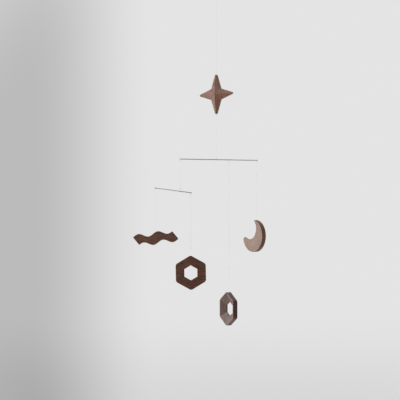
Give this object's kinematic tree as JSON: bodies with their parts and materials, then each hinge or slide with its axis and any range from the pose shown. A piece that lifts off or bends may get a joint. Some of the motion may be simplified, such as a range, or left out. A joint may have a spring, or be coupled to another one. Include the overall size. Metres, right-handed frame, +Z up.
{
  "type": "hanging mobile sculpture",
  "caption": "Hanging mobile: walnut star, wave, hexagonal rings and crescent moon on fine clear threads, spread by thin steel rods below a hanging loop.",
  "frame": {"origin": "top of the hanging loop, where a hook bears", "axes": "+Z up along the hanging thread, -Y towards the viewer, +X to the right"},
  "size_m": [0.2766, 0.1002, 0.6982],
  "materials": {
    "walnut": "satin oiled walnut",
    "steel": "bright drawn wire",
    "nylon": "clear monofilament"
  },
  "bodies": {
    "root": {"star": "walnut", "wave": "walnut", "hexagon_near": "walnut", "hexagon_far": "walnut", "moon": "walnut", "long_rod": "steel", "short_rod": "steel", "thread_top": "nylon", "thread_long_rod": "nylon", "thread_short_rod": "nylon", "thread_wave": "nylon", "thread_hexagon_near": "nylon", "thread_hexagon_far": "nylon", "thread_moon": "nylon"}
  },
  "joints": []
}
